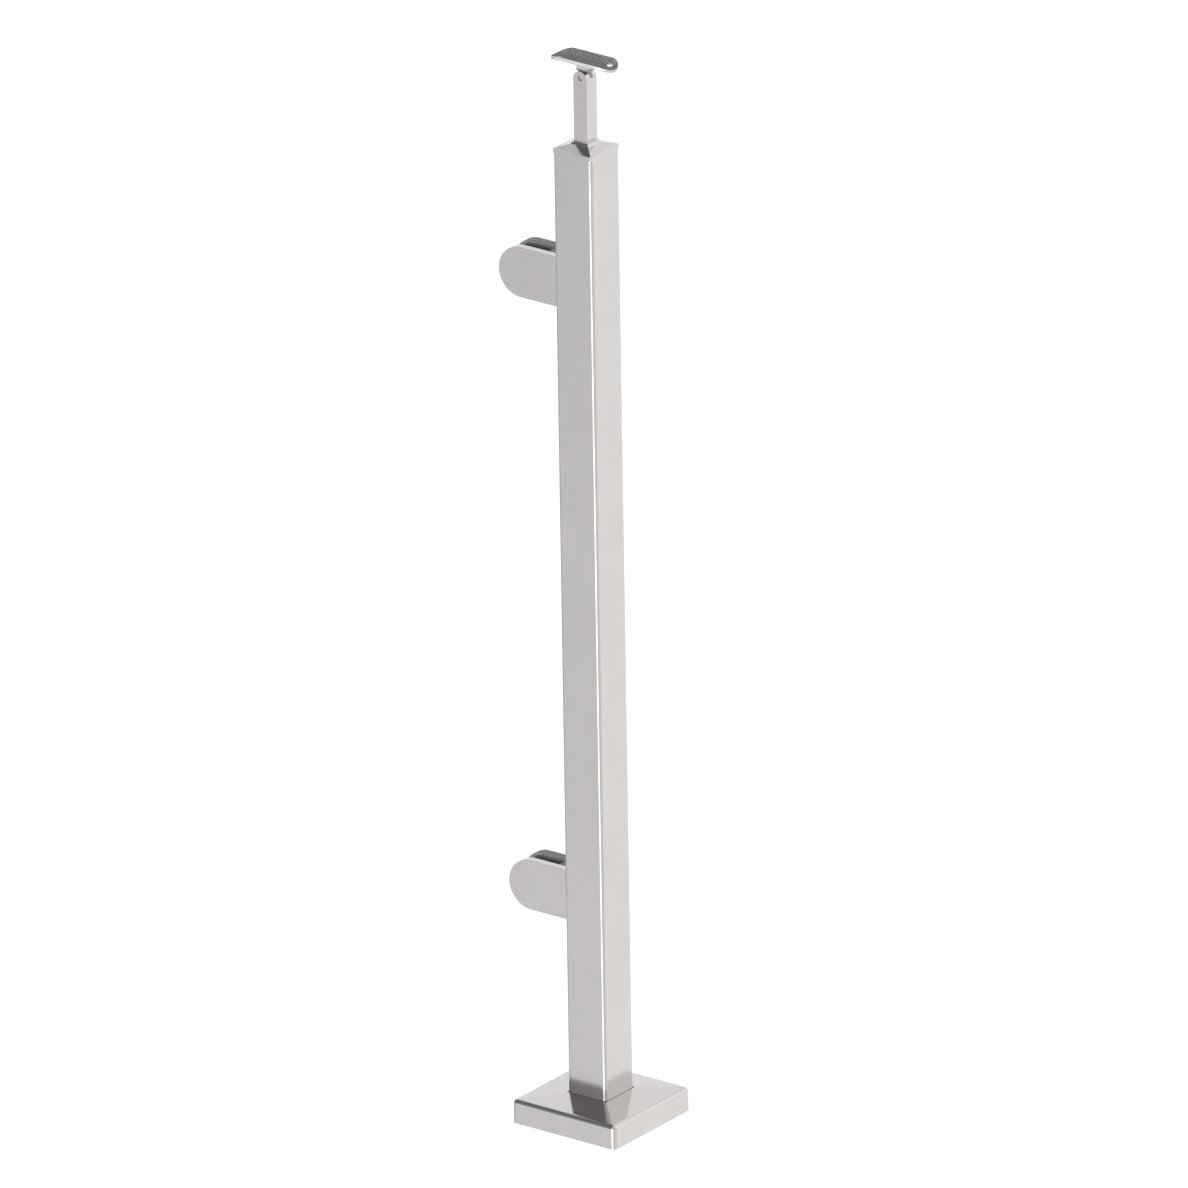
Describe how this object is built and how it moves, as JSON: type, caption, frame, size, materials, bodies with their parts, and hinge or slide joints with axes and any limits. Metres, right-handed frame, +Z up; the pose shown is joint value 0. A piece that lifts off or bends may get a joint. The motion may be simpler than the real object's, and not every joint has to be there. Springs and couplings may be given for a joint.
{
  "type": "glass railing post",
  "caption": "Square stainless railing end post with floor flange under a sliding cover, clamps for a glass pane on one side and a tilting handrail saddle on a forked stem.",
  "frame": {"origin": "middle of the foot on the floor, at the underside of the flange", "axes": "+Z up along the post, -X to the side the glass clamps stand on, -Y to the side of the clean clamp plates; the handrail runs along X"},
  "size_m": [0.137, 0.108, 0.961],
  "materials": {
    "satin_steel": "satin, ground lengthwise",
    "plate_steel": "hot rolled and pickled, weld left as laid",
    "cover_steel": "pressed sheet, polished",
    "cap_steel": "cast, satin",
    "pin_steel": "drawn and turned",
    "saddle_steel": "satin edges and neck, blasted trough",
    "clamp_cast_steel": "cast, blasted matt",
    "clamp_face_steel": "cast, satin face",
    "gasket_rubber": "moulded, matt",
    "screw_steel": "cold headed, bright",
    "insert_steel": "turned, plain"
  },
  "bodies": {
    "post": {"post_tube": "satin_steel", "base_flange": "plate_steel", "top_cap": "cap_steel", "pivot_pin": "pin_steel", "upper_clamp_body": "clamp_cast_steel", "upper_clamp_cover": "clamp_face_steel", "upper_front_gasket": "gasket_rubber", "upper_rear_gasket": "gasket_rubber", "upper_cover_screws": "screw_steel", "upper_mounting_screw": "screw_steel", "upper_rivet_nut": "insert_steel", "lower_clamp_body": "clamp_cast_steel", "lower_clamp_cover": "clamp_face_steel", "lower_front_gasket": "gasket_rubber", "lower_rear_gasket": "gasket_rubber", "lower_cover_screws": "screw_steel", "lower_mounting_screw": "screw_steel", "lower_rivet_nut": "insert_steel"},
    "cover": {"base_cover": "cover_steel"},
    "rail_saddle": {"saddle": "saddle_steel"}
  },
  "joints": [
    {"name": "cover_slide", "type": "slide", "parent": "post", "child": "cover", "axis": [0, 0, 1], "range_m": [0, 0.15]},
    {"name": "saddle_tilt", "type": "hinge", "parent": "post", "child": "rail_saddle", "pos_m": [0, 0, 0.9441], "axis": [0, 1, 0], "range_deg": [-35, 35]}
  ]
}
